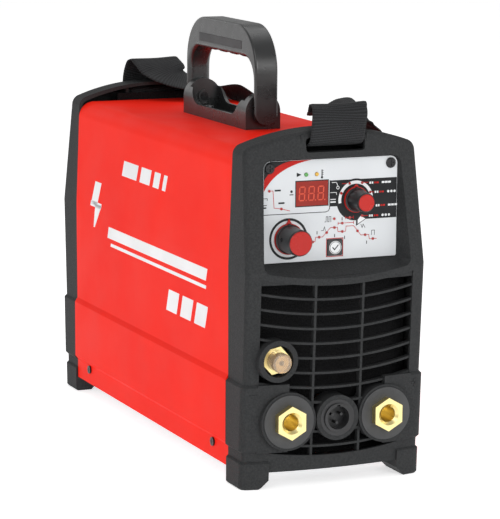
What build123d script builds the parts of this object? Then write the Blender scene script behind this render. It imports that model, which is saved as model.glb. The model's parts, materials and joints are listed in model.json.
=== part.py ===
from build123d import *
import math
import os

os.makedirs("parts", exist_ok=True)

# Portable TIG welding inverter. Millimetres, front at -Y, top at +Z, feet on z = 0.

# ---------------------------------------------------------------- driving sizes
cover_len = 368.0            # painted steel cover, between the two plastic end shells
half = cover_len / 2
side_low = 79.1              # half width at the bottom edge
side_mid = 80.0              # half width at the widest level
side_top = 76.6              # half width just under the top corners
widest_z = 180.0
cover_bottom = 13.5
cover_top = 276.0
corner_r = 14.0
sheet = 1.2                  # cover sheet thickness
band_low, band_high = 31.0, 88.0   # side bumper band
band_out = 2.3
arch_top = 292.5             # crown of the end shells
arch_side = 278.2
shell_wall = 3.0
bow = 8.0                    # how far the end faces swell in the middle
face_y = {-5.0: 212.7, 180.0: 222.0, 302.0: 201.7}   # distance of the end faces at their sides
foot_h = 23.5
foot_out = 1.9
foot_in = 58.0

panel_y = -208.0             # front of the control fascia
panel_half = 60.0
panel_low, panel_high = 184.4, 268.4
fascia_t = 1.2

socket_x = 43.5
socket_z = 57.0
collar_y = -226.0
socket_r = 22.0
current_x, current_z = -37.5, 204.3
mode_x, mode_z = 22.3, 233.5
set_x, set_z = 3.9, 195.0
gas_x, gas_z = -53.6, 107.8

handle_y = 2.0               # middle of the carrying handle along the machine
pivot_z = 291.0
handle_top = 364.5
leg_half = 79.0
leg_t = 7.2
handle_w = 21.0
bracket_half = 70.0
bracket_w = 32.4

strap_w = 48.0
strap_t = 2.0


# ---------------------------------------------------------------- helpers
def save(body, name):
    """Label a finished piece and write it to its own file."""
    body.part.label = name
    export_step(body.part, "parts/" + name + ".step")


def shell_section(grow, floor, corner):
    """Arched cross-section of the end shells, in the XZ plane."""
    with BuildSketch(Plane.XZ) as section:
        with BuildLine():
            Polyline(
                (side_top + grow, arch_side + grow),
                (side_mid + grow, widest_z),
                (side_low + grow, floor),
                (-side_low - grow, floor),
                (-side_mid - grow, widest_z),
                (-side_top - grow, arch_side + grow),
            )
            ThreePointArc(
                (-side_top - grow, arch_side + grow),
                (0, arch_top + grow),
                (side_top + grow, arch_side + grow),
            )
        make_face()
        fillet(section.vertices().group_by(Axis.Y)[-1], corner)
    return section.sketch


def face_block(shift):
    """Solid behind the swelling, leaning front face, moved back by shift."""
    with BuildPart() as block:
        for level, reach in face_y.items():
            edge = -reach + 10.0 + shift
            with BuildSketch(Plane.XY.offset(level)):
                with BuildLine():
                    Polyline((-120, edge), (-120, -150), (120, -150), (120, edge))
                    ThreePointArc((120, edge), (0, edge - 10.0 - bow), (-120, edge))
                make_face()
        loft(ruled=True)
    return block.part


def y_tube(x, z, y_front, y_back, r_out, r_in=0.0, mode=Mode.ADD):
    """Cylinder or tube along Y between two distances."""
    length = abs(y_back - y_front)
    middle = (y_back + y_front) / 2
    with Locations(Location((x, middle, z), (90, 0, 0))):
        Cylinder(r_out, length, mode=mode)
    if r_in > 0:
        with Locations(Location((x, middle, z), (90, 0, 0))):
            Cylinder(r_in, length + 0.02, mode=Mode.SUBTRACT)


def block(x, y, z, dx, dy, dz, mode=Mode.ADD):
    """Axis-aligned box from its centre and its sizes."""
    with Locations((x, y, z)):
        Box(dx, dy, dz, mode=mode)


def corner_posts(body):
    """Upright edges at the two front corners."""
    return [
        e for e in body.edges()
        if e.center().Y < -half - 8 and abs(e.center().X) > 70 and e.bounding_box().size.Z > 10
    ]


def blank_shell():
    """Outer form of an end shell with bumper band, feet and hollow inside, front version."""
    skin = face_block(0)
    with BuildPart() as outer:
        with BuildSketch(Plane.XZ.offset(half)):
            add(shell_section(0, 14.0, 9.0))
        extrude(amount=60)
        add(skin, mode=Mode.INTERSECT)
        rim = [
            e for e in outer.edges()
            if e.center().Y < -half - 8
            and e.center().Z > 14.5
            and not (abs(e.center().Z - widest_z) < 1 and e.length > 100)
        ]
        fillet(rim, 5.0)
    band_skin = face_block(-band_out)
    with BuildPart() as band:
        with BuildSketch(Plane.XZ.offset(half)):
            with Locations((0, (band_low + band_high) / 2)):
                Rectangle(2 * (side_low + band_out + 0.3), band_high - band_low)
        extrude(amount=60)
        add(band_skin, mode=Mode.INTERSECT)
        fillet(corner_posts(band), 7.0)
        levels = [
            e for e in band.edges()
            if abs(e.center().Z - band_low) < 0.01 or abs(e.center().Z - band_high) < 0.01
        ]
        outside = [e for e in levels if abs(e.center().Y + half) > 0.5]
        chamfer(outside, 2.0)
        block(0, -half - 50, 60, 132, 70, 80, mode=Mode.SUBTRACT)
    foot_skin = face_block(-foot_out)
    with BuildPart() as feet:
        with BuildSketch(Plane.XZ.offset(half)):
            with Locations((0, foot_h / 2)):
                Rectangle(2 * (side_low + foot_out), foot_h)
        extrude(amount=60)
        add(foot_skin, mode=Mode.INTERSECT)
        fillet(corner_posts(feet), 7.0)
        levels = [
            e for e in feet.edges()
            if (e.center().Z < 0.01 or abs(e.center().Z - foot_h) < 0.01)
            and abs(e.center().Y + half) > 0.5
        ]
        chamfer(levels, 1.6)
        block(0, -half - 30, 10, 2 * foot_in, 80, 40, mode=Mode.SUBTRACT)
        for side in (-1, 1):
            with Locations(Location((side * foot_in, -half - 30, 0), (0, 45, 0))):
                Box(11.0, 80, 11.0, mode=Mode.SUBTRACT)
        # grooves across the underside of the feet
        for y in (-194.0, -202.0):
            block(0, y, 0, 200, 2.4, 2.4, mode=Mode.SUBTRACT)
    hollow_skin = face_block(shell_wall)
    with BuildPart() as hollow:
        with BuildSketch(Plane.XZ.offset(half - 1)):
            add(shell_section(-shell_wall, 17.0, 6.0))
        extrude(amount=61)
        add(hollow_skin, mode=Mode.INTERSECT)
    with BuildPart() as shell:
        add(outer.part)
        add(band.part)
        add(feet.part)
        add(hollow.part, mode=Mode.SUBTRACT)
    return shell.part


def skin_slab(front, back):
    """Curved slab just under the front face, used to bound grille bars."""
    with BuildPart() as slab:
        add(face_block(front))
        add(face_block(back), mode=Mode.SUBTRACT)
    return slab.part


def bar_face(level, sag, thick, reach):
    """One drooping horizontal grille bar, drawn in the XZ plane."""
    with BuildSketch(Plane.XZ) as bar:
        with BuildLine():
            ThreePointArc((-reach, level), (0, level - sag), (reach, level))
            Line((reach, level), (reach, level - thick))
            ThreePointArc(
                (reach, level - thick), (0, level - sag - thick), (-reach, level - thick)
            )
            Line((-reach, level - thick), (-reach, level))
        make_face()
    return bar.sketch


shell_blank = blank_shell()

# ---------------------------------------------------------------- steel cover
with BuildPart() as steel_cover:
    with BuildSketch(Plane.XZ.offset(half)) as section:
        with BuildLine():
            Polyline(
                (side_top, cover_top), (side_mid, widest_z), (79.5, 90.5), (81.9, 86.5), (81.8, 34.5),
                (79.2, 31.2), (side_low, 6.0), (-side_low, 6.0), (-79.2, 31.2), (-81.8, 34.5),
                (-81.9, 86.5), (-79.5, 90.5), (-side_mid, widest_z), (-side_top, cover_top),
                close=True,
            )
        make_face()
        fillet(section.vertices().group_by(Axis.Y)[-1], corner_r)
        offset(amount=-sheet, kind=Kind.INTERSECTION, mode=Mode.SUBTRACT)
        with Locations((0, cover_bottom - 5)):
            Rectangle(200, 10, mode=Mode.SUBTRACT)
    extrude(amount=-cover_len)
    # holes for the eight side screws and the four handle screws
    for y in (-152.0, 150.0):
        with Locations(Location((0, y, 27.2), (0, 90, 0))):
            Cylinder(2.1, 200, mode=Mode.SUBTRACT)
    for y in (-50.0, 54.0):
        with Locations((0, y, cover_top)):
            Cylinder(2.6, 10, mode=Mode.SUBTRACT)
save(steel_cover, "steel_cover")

# ---------------------------------------------------------------- front shell
bar_slab = skin_slab(0.8, 6.0)
with BuildPart() as grille_bars:
    with BuildSketch(Plane.XZ.offset(half)):
        for row in range(11):
            add(bar_face(163.9 - 12.3 * row, 6.8, 1.9, 68.2))
        for x in (-21.3, 21.3):
            with Locations((x, 97)):
                Rectangle(2.0, 146)
    extrude(amount=60)
    add(bar_slab, mode=Mode.INTERSECT)

with BuildPart() as bumper_pads:
    # bumper continued over the front face as far as the panel sockets
    for side in (-1, 1):
        block(side * 56.0, -225, (band_low + band_high) / 2, 26.0, 40, band_high - band_low)
    add(skin_slab(-band_out, 4.0), mode=Mode.INTERSECT)

with BuildPart() as pocket:
    # funnel-shaped recess that holds the control fascia
    with BuildSketch(Plane.XZ.offset(-panel_y - fascia_t)) as inner:
        with BuildLine():
            Polyline(
                (panel_half, panel_low + 0.4), (panel_half, panel_high), (-panel_half, panel_high),
                (-panel_half, panel_low + 0.4),
            )
            ThreePointArc(
                (-panel_half, panel_low + 0.4), (0, panel_low), (panel_half, panel_low + 0.4)
            )
        make_face()
        fillet(inner.vertices().group_by(Axis.Y)[-1], 6.5)
        fillet(inner.vertices().group_by(Axis.Y)[0], 1.5)
    with BuildSketch(Plane.XZ.offset(236)) as mouth:
        with BuildLine():
            Polyline((69.5, 177.0), (69.5, 273.5), (-69.5, 273.5), (-69.5, 177.0))
            ThreePointArc((-69.5, 177.0), (0, 170.0), (69.5, 177.0))
        make_face()
        fillet(mouth.vertices(), 9.0)
    loft(ruled=True)

housing_skin = face_block(1.0)
with BuildPart() as housing:
    block(0, -215, 222.5, 144, 21.8, 105)
    add(housing_skin, mode=Mode.INTERSECT)

with BuildPart() as front_shell:
    add(shell_blank)
    with BuildSketch(Plane.XZ.offset(half + 12)):
        with BuildLine():
            ThreePointArc((-67.8, 174.5), (0, 167.7), (67.8, 174.5))
            Line((67.8, 174.5), (67.8, 32.0))
            ThreePointArc((67.8, 32.0), (0, 25.5), (-67.8, 32.0))
            Line((-67.8, 32.0), (-67.8, 174.5))
        make_face()
    extrude(amount=60, mode=Mode.SUBTRACT)
    add(housing.part)
    add(pocket.part, mode=Mode.SUBTRACT)
    add(grille_bars.part)
    add(bumper_pads.part)
    # collars around the sockets
    for x in (-socket_x, socket_x):
        y_tube(x, socket_z, collar_y, -209, 24.2)
    y_tube(0, socket_z, collar_y - 0.5, -209, 18.8)
    y_tube(gas_x, gas_z, collar_y - 1.5, -211, 17.2)
    for x in (-socket_x, socket_x):
        y_tube(x, socket_z, collar_y - 2, -214, socket_r + 0.15, mode=Mode.SUBTRACT)
        y_tube(x, socket_z, -240, -200, 17.15, mode=Mode.SUBTRACT)
    y_tube(0, socket_z, collar_y - 2, -214, 15.35, mode=Mode.SUBTRACT)
    y_tube(0, socket_z, -240, -200, 12.15, mode=Mode.SUBTRACT)
    y_tube(gas_x, gas_z, collar_y - 2, -216, 13.0, mode=Mode.SUBTRACT)
    y_tube(gas_x, gas_z, -240, -200, 7.15, mode=Mode.SUBTRACT)
    # openings of the recess floor: knob bushings, button, display and lamps
    y_tube(current_x, current_z, -215, -200, 5.2, mode=Mode.SUBTRACT)
    y_tube(mode_x, mode_z, -215, -200, 5.2, mode=Mode.SUBTRACT)
    block(set_x, -206, set_z, 9, 12, 9, mode=Mode.SUBTRACT)
    block(-16.9, -206, 240.5, 29, 12, 21, mode=Mode.SUBTRACT)
    for x in (-22.2, -12.8):
        y_tube(x, 256.0, -215, -200, 1.8, mode=Mode.SUBTRACT)
    # slot for the carrying strap
    with BuildSketch(Plane.XZ.offset(195)):
        with Locations((1.5, 280.4)):
            RectangleRounded(52.5, 11.6, 3.0)
    extrude(amount=40, mode=Mode.SUBTRACT)
    # anchor bar behind the slot
    block(1.5, -196, 282.5, 58, 5, 5)
    for x in (-27.5, 30.5):
        block(x, -200, 282.0, 2.5, 24, 13)
save(front_shell, "front_shell")

# ---------------------------------------------------------------- rear shell
fan_z = 105.0
switch_x, switch_z = -38.0, 222.0
gland_x, gland_z = 36.0, 226.0
inlet_x, inlet_z = 48.0, 187.0
rear_face = 226.0            # flat pads on the rear face

rear_slab = mirror(bar_slab, about=Plane.XZ)
with BuildPart() as fan_guard:
    with BuildSketch(Plane.XZ.offset(-half)):
        with Locations((0, fan_z)):
            for radius in (50.0, 41.0, 32.0, 23.0, 14.0):
                Circle(radius)
                Circle(radius - 2.4, mode=Mode.SUBTRACT)
            Circle(8.0)
            for turn in (45, 135):
                Rectangle(116, 3.0, rotation=turn)
    extrude(amount=-60)
    add(rear_slab, mode=Mode.INTERSECT)

with BuildPart() as rear_shell:
    add(mirror(shell_blank, about=Plane.XZ))
    y_tube(0, fan_z, 200, 240, 56.0, mode=Mode.SUBTRACT)
    add(fan_guard.part)
    # flat pads for the switch, the cable gland and the gas inlet
    block(switch_x, 219.5, switch_z, 34, 13, 44)
    y_tube(gland_x, gland_z, 213, rear_face, 17.0)
    y_tube(inlet_x, inlet_z, 213, rear_face, 11.5)
    block(switch_x, 220, switch_z, 20.4, 40, 27.4, mode=Mode.SUBTRACT)
    y_tube(gland_x, gland_z, 200, 240, 10.05, mode=Mode.SUBTRACT)
    y_tube(inlet_x, inlet_z, 200, 240, 6.05, mode=Mode.SUBTRACT)
    y_tube(inlet_x, inlet_z, rear_face, 240, 10.4, mode=Mode.SUBTRACT)
    # bosses that carry the fan
    for x in (-52.5, 52.5):
        for z in (fan_z - 52.5, fan_z + 52.5):
            y_tube(x, z, 212, 222, 5.5)
            y_tube(x, z, 222, 240, 4.0, mode=Mode.SUBTRACT)
            y_tube(x, z, 205, 240, 1.7, mode=Mode.SUBTRACT)
    # slot for the carrying strap, with its side ribs and anchor bar
    with BuildSketch(Plane.XZ.offset(-195)):
        with Locations((1.5, 281.6)):
            RectangleRounded(52.5, 9.2, 3.0)
    extrude(amount=-40, mode=Mode.SUBTRACT)
    block(1.5, 196, 282.5, 58, 5, 5)
    for x in (-27.5, 30.5):
        block(x, 200, 282.0, 2.5, 24, 13)
save(rear_shell, "rear_shell")

# ---------------------------------------------------------------- chassis tray
tray_z = 17.0
with BuildPart() as chassis_tray:
    block(0, 0, tray_z + 0.6, 155.4, 366, 1.2)
    block(0, 0, tray_z + 0.6, 148, 408, 1.2)
    for x in (-77.1, 77.1):
        block(x, 0, 28.0, 1.2, 366, 22.0)
    for y in (-152.0, 150.0):
        with Locations(Location((0, y, 27.2), (0, 90, 0))):
            Cylinder(1.5, 200, mode=Mode.SUBTRACT)
    # air slots in the floor
    for y in range(-140, 150, 20):
        for x in (-62.0, 62.0):
            block(x, y, tray_z, 14, 4, 6, mode=Mode.SUBTRACT)
save(chassis_tray, "chassis_tray")

with BuildPart() as cover_screws:
    for y in (-152.0, 150.0):
        for side in (-1, 1):
            with Locations(Location((side * 80.0, y, 27.2), (0, 90, 0))):
                Cylinder(3.7, 1.5)
            with Locations(Location((side * 77.2, y, 27.2), (0, 90, 0))):
                Cylinder(1.5, 5.0)
            block(side * 80.6, y, 27.2, 0.8, 4.4, 0.9, mode=Mode.SUBTRACT)
            block(side * 80.6, y, 27.2, 0.8, 0.9, 4.4, mode=Mode.SUBTRACT)
save(cover_screws, "cover_screws")

with BuildPart() as base_screws:
    for y in (-197.0, 197.0):
        for x in (-40.0, 40.0):
            with Locations((x, y, 13.2)):
                Cylinder(3.8, 1.6)
            with Locations((x, y, 12.6)):
                Cylinder(1.5, 1.4, mode=Mode.SUBTRACT)
save(base_screws, "base_screws")

with BuildPart() as rating_plate:
    with Locations(Location((80.1, 100, 135), (0, 0.32, 0))):
        Box(0.5, 84, 56)
save(rating_plate, "rating_plate")

# ---------------------------------------------------------------- control fascia
with BuildPart() as control_panel:
    with BuildSketch(Plane.XZ.offset(-panel_y - fascia_t)) as fascia:
        with Locations((0, (panel_low + panel_high) / 2 + 0.2)):
            Rectangle(2 * panel_half - 0.6, panel_high - panel_low - 0.9)
        fillet(fascia.vertices().group_by(Axis.Y)[-1], 6.3)
        fillet(fascia.vertices().group_by(Axis.Y)[0], 1.4)
    extrude(amount=fascia_t)
    y_tube(current_x, current_z, -215, -200, 5.2, mode=Mode.SUBTRACT)
    y_tube(mode_x, mode_z, -215, -200, 5.2, mode=Mode.SUBTRACT)
    block(set_x, panel_y, set_z, 13.8, 5, 13.8, mode=Mode.SUBTRACT)
    block(-16.9, panel_y, 240.5, 28.4, 5, 20.2, mode=Mode.SUBTRACT)
    for x in (-22.2, -12.8):
        y_tube(x, 256.0, -215, -200, 1.8, mode=Mode.SUBTRACT)
save(control_panel, "control_panel")

with BuildPart() as panel_screws:
    for x in (-54.8, 53.6):
        y_tube(x, 262.4, panel_y - 1.6, panel_y, 4.3)
        for turn in (0, 90):
            with Locations(Location((x, panel_y - 1.6, 262.4), (0, turn, 0))):
                Box(5.2, 1.8, 1.0, mode=Mode.SUBTRACT)
    chamfer(panel_screws.edges().filter_by(GeomType.CIRCLE).group_by(Axis.Y)[0], 0.6)
save(panel_screws, "panel_screws")

with BuildPart() as display_window:
    block(-16.9, panel_y + 0.5, 240.5, 28.2, 1.2, 20.0)
save(display_window, "display_window")

with BuildPart() as display_module:
    block(-16.9, -202.7, 240.5, 27.6, 7.4, 19.0)
save(display_module, "display_module")

with BuildPart() as power_lamp:
    y_tube(-22.2, 256.0, panel_y - 0.6, -199.6, 1.6)
save(power_lamp, "power_lamp")

with BuildPart() as heat_lamp:
    y_tube(-12.8, 256.0, panel_y - 0.6, -199.6, 1.6)
save(heat_lamp, "heat_lamp")

lamp_points = (
    (-54.8, 244.2), (-44.0, 229.2), (-15.9, 200.6), (-10.2, 204.2), (-3.5, 207.6), (3.4, 211.4),
    (3.2, 218.6), (10.4, 214.6), (17.0, 218.9), (10.5, 207.7), (24.3, 207.4), (31.3, 203.8),
    (38.3, 200.2), (9.2, 239.3), (16.6, 247.0), (27.9, 247.1), (35.4, 239.0), (36.9, 229.5),
    (28.2, 219.8),
)
with BuildPart() as function_lamps:
    for x, z in lamp_points:
        y_tube(x, z, panel_y - 0.5, panel_y, 1.15)
save(function_lamps, "function_lamps")

with BuildPart() as control_board:
    block(0, -198.0, 226.5, 116, 1.6, 82)
    # pillars up to the recess floor
    for x in (-54.0, 54.0):
        for z in (190.0, 263.0):
            y_tube(x, z, -204.1, -198.8, 2.6)
    # processor, connectors and small parts on the back
    block(-20, -196.4, 225, 14, 1.6, 14)
    block(30, -194.2, 205, 26, 6.0, 8)
    block(-38, -194.2, 250, 20, 6.0, 8)
    for x in (-5, 6, 17):
        y_tube(x, 250, -197.2, -190.0, 4.0)
save(control_board, "control_board")


def knob(x, z, base_r, cap_r, depth, ribs):
    """Turning knob with a skirt, a ribbed taper and a bore for its shaft."""
    front = panel_y - depth
    with BuildPart() as body:
        with BuildSketch(Plane.YZ.offset(x)):
            with BuildLine():
                Polyline(
                    (panel_y - 0.4, z), (panel_y - 0.4, z + base_r), (panel_y - 2.4, z + base_r),
                    (panel_y - 3.0, z + base_r - 1.0), (front + 1.2, z + cap_r + 0.7), (front, z + cap_r),
                    (front, z), close=True,
                )
            make_face()
        revolve(axis=Axis((x, 0, z), (0, 1, 0)))
        for turn in range(ribs):
            angle = 2 * math.pi * turn / ribs
            with Locations(
                Location(
                    (x + (base_r - 0.2) * math.cos(angle), front / 2 + panel_y / 2 - 1.7,
                     z + (base_r - 0.2) * math.sin(angle)),
                    (90, 0, 0),
                )
            ):
                Cylinder(0.75, depth - 3.2, mode=Mode.SUBTRACT)
        # pointer ridge on the skirt
        block(x, panel_y - 2.0, z + base_r - 0.6, 1.4, 2.0, 2.0)
        y_tube(x, z, panel_y - 13.0, panel_y, 3.0, mode=Mode.SUBTRACT)
        y_tube(x, z, panel_y - 2.6, panel_y, base_r - 4.5, mode=Mode.SUBTRACT)
        y_tube(x, z, front - 1, front + 1.0, cap_r - 0.25, mode=Mode.SUBTRACT)
    return body


current_knob = knob(current_x, current_z, 12.0, 10.0, 24.6, 24)
save(current_knob, "current_knob")
mode_knob = knob(mode_x, mode_z, 10.0, 7.2, 20.6, 20)
save(mode_knob, "mode_knob")

with BuildPart() as current_knob_cap:
    y_tube(current_x, current_z, panel_y - 25.2, panel_y - 23.6, 9.75)
    chamfer(current_knob_cap.edges().filter_by(GeomType.CIRCLE).group_by(Axis.Y)[0], 0.5)
save(current_knob_cap, "current_knob_cap")
with BuildPart() as mode_knob_cap:
    y_tube(mode_x, mode_z, panel_y - 21.2, panel_y - 19.6, 6.95)
    chamfer(mode_knob_cap.edges().filter_by(GeomType.CIRCLE).group_by(Axis.Y)[0], 0.5)
save(mode_knob_cap, "mode_knob_cap")

with BuildPart() as current_shaft:
    y_tube(current_x, current_z, panel_y - 13.0, -200.5, 3.0)
save(current_shaft, "current_shaft")
with BuildPart() as mode_shaft:
    y_tube(mode_x, mode_z, panel_y - 13.0, -200.5, 3.0)
save(mode_shaft, "mode_shaft")

with BuildPart() as current_encoder:
    block(current_x, -201.2, current_z, 12, 4.8, 12)
    y_tube(current_x, current_z, -209.6, -203, 4.9)
    y_tube(current_x, current_z, -212, -200.0, 3.05, mode=Mode.SUBTRACT)
save(current_encoder, "current_encoder")
with BuildPart() as mode_switch:
    y_tube(mode_x, mode_z, -203.6, -198.8, 9.0)
    y_tube(mode_x, mode_z, -209.6, -203, 4.9)
    y_tube(mode_x, mode_z, -212, -200.0, 3.05, mode=Mode.SUBTRACT)
save(mode_switch, "mode_switch")

with BuildPart() as set_button:
    block(set_x, panel_y - 0.6, set_z, 13.0, 1.6, 13.0)
    fillet(set_button.edges().filter_by(Axis.Y), 1.2)
    block(set_x, -204.2, set_z, 7.6, 7.0, 7.6)
save(set_button, "set_button")
with BuildPart() as button_switch:
    block(set_x, -199.3, set_z, 6.2, 1.0, 6.2)
save(button_switch, "button_switch")

# ---------------------------------------------------------------- sockets
hex_af = 24.4
bore_r = 6.6


def insulator(x):
    """Round insulating body of a panel socket."""
    y_tube(x, socket_z, collar_y - 0.8, -214.1, socket_r)
    y_tube(x, socket_z, -214.5, -194.0, 17.0)
    y_tube(x, socket_z, -208.9, -205.0, 20.5)
    y_tube(x, socket_z, -235, -190, 11.0, mode=Mode.SUBTRACT)


def brass_insert(x):
    """Brass twist-lock socket: hexagonal mouth, keyed bore, stud behind."""
    with BuildPart() as body:
        with BuildSketch(Plane.XZ.offset(-collar_y + 0.8)):
            with Locations((x, socket_z)):
                RegularPolygon(hex_af / 2, 6, major_radius=False, rotation=30)
        extrude(amount=6.2)
        cone_front = -collar_y + 0.8 + 6.2
        y_tube(x, socket_z, collar_y - 0.8, -190.0, 10.95)
        y_tube(x, socket_z, -190.0, -176.0, 5.0)
        # bore with a wide lead-in and a keyway at the top
        y_tube(x, socket_z, -cone_front - 1, -200.0, bore_r, mode=Mode.SUBTRACT)
        with Locations(Location((x, -cone_front + 1.2, socket_z), (90, 0, 0))):
            Cone(bore_r, bore_r + 2.4, 2.402, mode=Mode.SUBTRACT)
        block(x, -cone_front + 9, socket_z + 6.6, 4.2, 18.2, 4.0, mode=Mode.SUBTRACT)
    return body


for name, x in (("negative_socket", -socket_x), ("positive_socket", socket_x)):
    with BuildPart() as ring_body:
        insulator(x)
    save(ring_body, name + "_insulator")
    save(brass_insert(x), name)

with BuildPart() as torch_control_socket:
    y_tube(0, socket_z, collar_y - 0.5, -214.1, 15.2)
    y_tube(0, socket_z, collar_y - 2.0, -214.5, 12.0)
    y_tube(0, socket_z, -214.5, -196.0, 12.0)
    y_tube(0, socket_z, collar_y - 3, collar_y + 8, 9.6, mode=Mode.SUBTRACT)
    block(0, collar_y + 2, socket_z + 9.6, 3.0, 8.2, 2.6, mode=Mode.SUBTRACT)
save(torch_control_socket, "torch_control_socket")

with BuildPart() as torch_control_pins:
    for turn in (90, 210, 330):
        x = 4.6 * math.cos(math.radians(turn))
        z = socket_z - 4.6 * math.sin(math.radians(turn))
        y_tube(x, z, collar_y + 1.2, collar_y + 8.0, 1.2)
save(torch_control_pins, "torch_control_pins")

with BuildPart() as gas_outlet:
    with BuildSketch(Plane.XZ.offset(216)):
        with Locations((gas_x, gas_z)):
            RegularPolygon(10.5, 6, major_radius=False, rotation=12)
    extrude(amount=6.6)
    y_tube(gas_x, gas_z, -232.5, -222.6, 6.0)
    y_tube(gas_x, gas_z, -216.0, -186.0, 7.0)
    y_tube(gas_x, gas_z, -186.0, -178.0, 4.0)
    y_tube(gas_x, gas_z, -240, -170, 2.2, mode=Mode.SUBTRACT)
save(gas_outlet, "gas_outlet")

with BuildPart() as outlet_cap:
    y_tube(gas_x, gas_z, -236.0, -222.9, 8.2)
    fillet(outlet_cap.edges().filter_by(GeomType.CIRCLE).group_by(Axis.Y)[0], 1.6)
    y_tube(gas_x, gas_z, -234.4, -222.0, 6.05, mode=Mode.SUBTRACT)
    y_tube(gas_x, gas_z, -236.8, -235.9, 2.0)
save(outlet_cap, "outlet_cap")

# ---------------------------------------------------------------- carrying handle
with BuildPart() as handle:
    with BuildSketch(Plane.YZ.offset(-handle_w / 2)) as outline:
        with Locations((handle_y, (handle_top + pivot_z - 12) / 2)):
            Rectangle(2 * leg_half, handle_top - pivot_z + 12)
        fillet(outline.vertices().group_by(Axis.Y)[-1], 40.0)
    extrude(amount=handle_w)
    with BuildSketch(Plane.YZ.offset(-handle_w / 2)) as opening:
        with Locations((handle_y, (336.5 + pivot_z - 14) / 2)):
            Rectangle(2 * (leg_half - leg_t), 336.5 - pivot_z + 14)
        fillet(opening.vertices().group_by(Axis.Y)[-1], 20.0)
    extrude(amount=handle_w, mode=Mode.SUBTRACT)
    flank = [e for e in handle.edges() if abs(abs(e.center().X) - handle_w / 2) < 0.01]
    over = [e for e in flank if e.center().Z > 345 or abs(e.center().Y - handle_y) > leg_half - 1]
    under = [e for e in flank if 335 < e.center().Z < 338 and e.length > 90]
    fillet(over, 2.0)
    fillet(under, 4.5)
    # rounded lower ends of the legs
    with BuildSketch(Plane.XZ.offset(100)):
        with Locations((0, pivot_z)):
            Circle(handle_w / 2)
        with Locations((0, pivot_z + 50)):
            Rectangle(handle_w, 100)
    extrude(amount=-200, mode=Mode.INTERSECT)
    # finger hollows along the underside
    for step in range(4):
        with Locations(Location((0, handle_y - 36 + 24 * step, 324.5), (0, 90, 0))):
            Cylinder(14.5, 40, mode=Mode.SUBTRACT)
    # recesses for the grip pads and blind holes for the pivot pins
    for side in (-1, 1):
        block(side * handle_w / 2, handle_y, 346.6, 2.0, 96, 7.4, mode=Mode.SUBTRACT)
    y_tube(0, pivot_z, handle_y - leg_half + 1.6, handle_y - 60, 4.06, mode=Mode.SUBTRACT)
    y_tube(0, pivot_z, handle_y + 60, handle_y + leg_half - 1.6, 4.06, mode=Mode.SUBTRACT)
save(handle, "handle")

with BuildPart() as handle_pads:
    for side in (-1, 1):
        block(side * (handle_w / 2 - 0.4), handle_y, 346.6, 1.2, 95.6, 7.0)
save(handle_pads, "handle_pads")

with BuildPart() as handle_bracket:
    with BuildSketch(Plane.YZ.offset(-bracket_w / 2)):
        with BuildLine():
            Polyline((handle_y - 36, 286.4), (handle_y + 36, 286.4))
            Spline(
                (handle_y + 36, 286.4), (handle_y + 52, 296), (handle_y + 61, 306),
                (handle_y + 66, 308.5), tangents=[(1, 0), (1, 0)],
            )
            Polyline(
                (handle_y + 66, 308.5), (handle_y + 71.2, 308.5), (handle_y + 71.2, cover_top),
                (handle_y - 71.2, cover_top), (handle_y - 71.2, 308.5), (handle_y - 66, 308.5),
            )
            Spline(
                (handle_y - 66, 308.5), (handle_y - 61, 306), (handle_y - 52, 296),
                (handle_y - 36, 286.4), tangents=[(1, 0), (1, 0)],
            )
        make_face()
    extrude(amount=bracket_w)
    with BuildSketch(Plane.XZ.offset(100)):
        with Locations((0, pivot_z)):
            Circle(bracket_w / 2)
        with Locations((0, pivot_z - 10)):
            Rectangle(bracket_w, 20)
    extrude(amount=-200, mode=Mode.INTERSECT)
    block(0, handle_y, 300, bracket_w - 5.6, 124, 40, mode=Mode.SUBTRACT)
    for y in (-62.0, 62.0):
        y_tube(0, pivot_z, handle_y + y - 1.2, handle_y + y + 1.2, 6.0)
    y_tube(0, pivot_z, handle_y - 80, handle_y + 80, 4.0, mode=Mode.SUBTRACT)
    for y in (-50.0, 54.0):
        with Locations((0, y, cover_top)):
            Cylinder(2.6, 20, mode=Mode.SUBTRACT)
save(handle_bracket, "handle_bracket")

with BuildPart() as handle_pins:
    y_tube(0, pivot_z, handle_y - leg_half + 2.0, handle_y - 61.0, 4.0)
    y_tube(0, pivot_z, handle_y + 61.0, handle_y + leg_half - 2.0, 4.0)
save(handle_pins, "handle_pins")

with BuildPart() as bracket_screws:
    for y in (-50.0, 54.0):
        with Locations((0, y, 281.6)):
            Cylinder(5.0, 3.2)
        with Locations((0, y, 276.0)):
            Cylinder(2.5, 8.2)
        with Locations((0, y, 282.6)):
            Cylinder(1.9, 2.2, mode=Mode.SUBTRACT)
save(bracket_screws, "bracket_screws")

# ---------------------------------------------------------------- rear fittings
with BuildPart() as switch_frame:
    block(switch_x, rear_face + 1.0, switch_z, 24, 2.0, 31)
    fillet(switch_frame.edges().filter_by(Axis.Y), 2.0)
    block(switch_x, rear_face - 10.0, switch_z, 20.0, 20.0, 27.0)
    block(switch_x, rear_face - 4.0, switch_z, 14.2, 13.0, 21.6, mode=Mode.SUBTRACT)
    # pivot pin of the rocker
    with Locations(Location((switch_x, rear_face - 2.5, switch_z), (0, 90, 0))):
        Cylinder(1.45, 17.0)
save(switch_frame, "switch_frame")

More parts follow.
